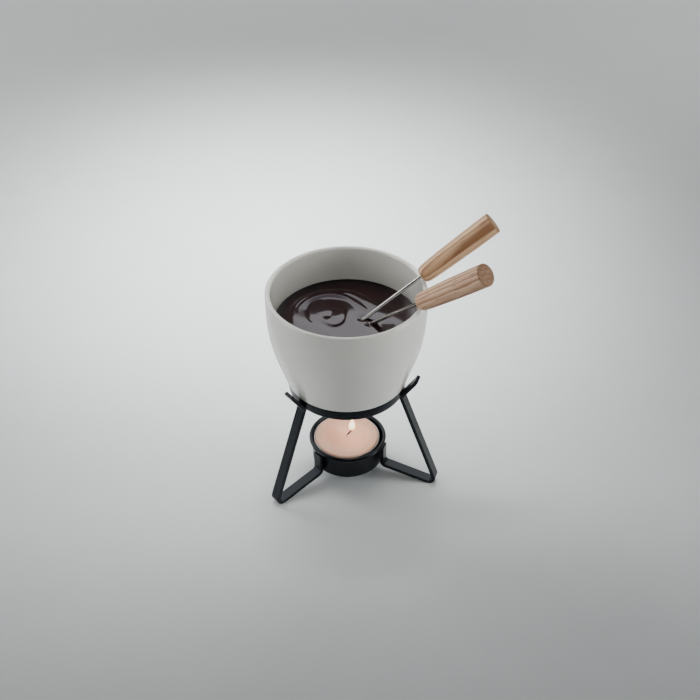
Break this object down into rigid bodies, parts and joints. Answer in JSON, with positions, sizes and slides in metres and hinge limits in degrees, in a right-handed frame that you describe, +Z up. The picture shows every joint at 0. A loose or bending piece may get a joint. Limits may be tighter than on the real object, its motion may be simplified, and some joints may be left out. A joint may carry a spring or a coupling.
{
  "type": "fondue pot set",
  "caption": "Tabletop fondue set: glazed pot on a black strap-steel stand over a tealight, with wooden-handled forks.",
  "frame": {"origin": "on the table, under the middle of the whole set's outline (bounding box bottom centre); the stand's own vertical axis stands at x -18 mm, y -5 mm", "axes": "+Z up, +X towards the side where the fork handles stick out, -Y towards the front of the set, between the two front legs"},
  "size_m": [0.1213, 0.0948, 0.1588],
  "materials": {
    "black_powder_coat": "satin",
    "pot_glaze": "satin glaze",
    "melted_chocolate": "wet gloss",
    "can_aluminium": "bright",
    "candle_wax": "soft wax",
    "wick_thread": "charred",
    "turned_wood": "oiled",
    "fork_steel": "polished"
  },
  "bodies": {
    "stand": {"support_ring": "black_powder_coat", "leg_front_left": "black_powder_coat", "leg_front_right": "black_powder_coat", "leg_back": "black_powder_coat", "candle_cup": "black_powder_coat"},
    "pot": {"pot": "pot_glaze", "chocolate_fill": "melted_chocolate"},
    "tealight": {"tealight_can": "can_aluminium", "tealight_wax": "candle_wax", "wick": "wick_thread", "wick_sustainer": "can_aluminium"},
    "fork_1": {"fork_1_handle": "turned_wood", "fork_1_tines": "fork_steel"},
    "fork_2": {"fork_2_handle": "turned_wood", "fork_2_tines": "fork_steel"}
  },
  "joints": [
    {"name": "pot_lift", "type": "slide", "parent": "stand", "child": "pot", "axis": [0, 0, 1], "range_m": [0, 0.08]},
    {"name": "tealight_lift", "type": "slide", "parent": "stand", "child": "tealight", "axis": [0, 0, 1], "range_m": [0, 0.02]},
    {"name": "fork_1_slide", "type": "slide", "parent": "pot", "child": "fork_1", "axis": [0.7714, 0.1112, 0.6266], "range_m": [0, 0.09]},
    {"name": "fork_2_slide", "type": "slide", "parent": "pot", "child": "fork_2", "axis": [0.6387, -0.4148, 0.6481], "range_m": [0, 0.09]}
  ]
}
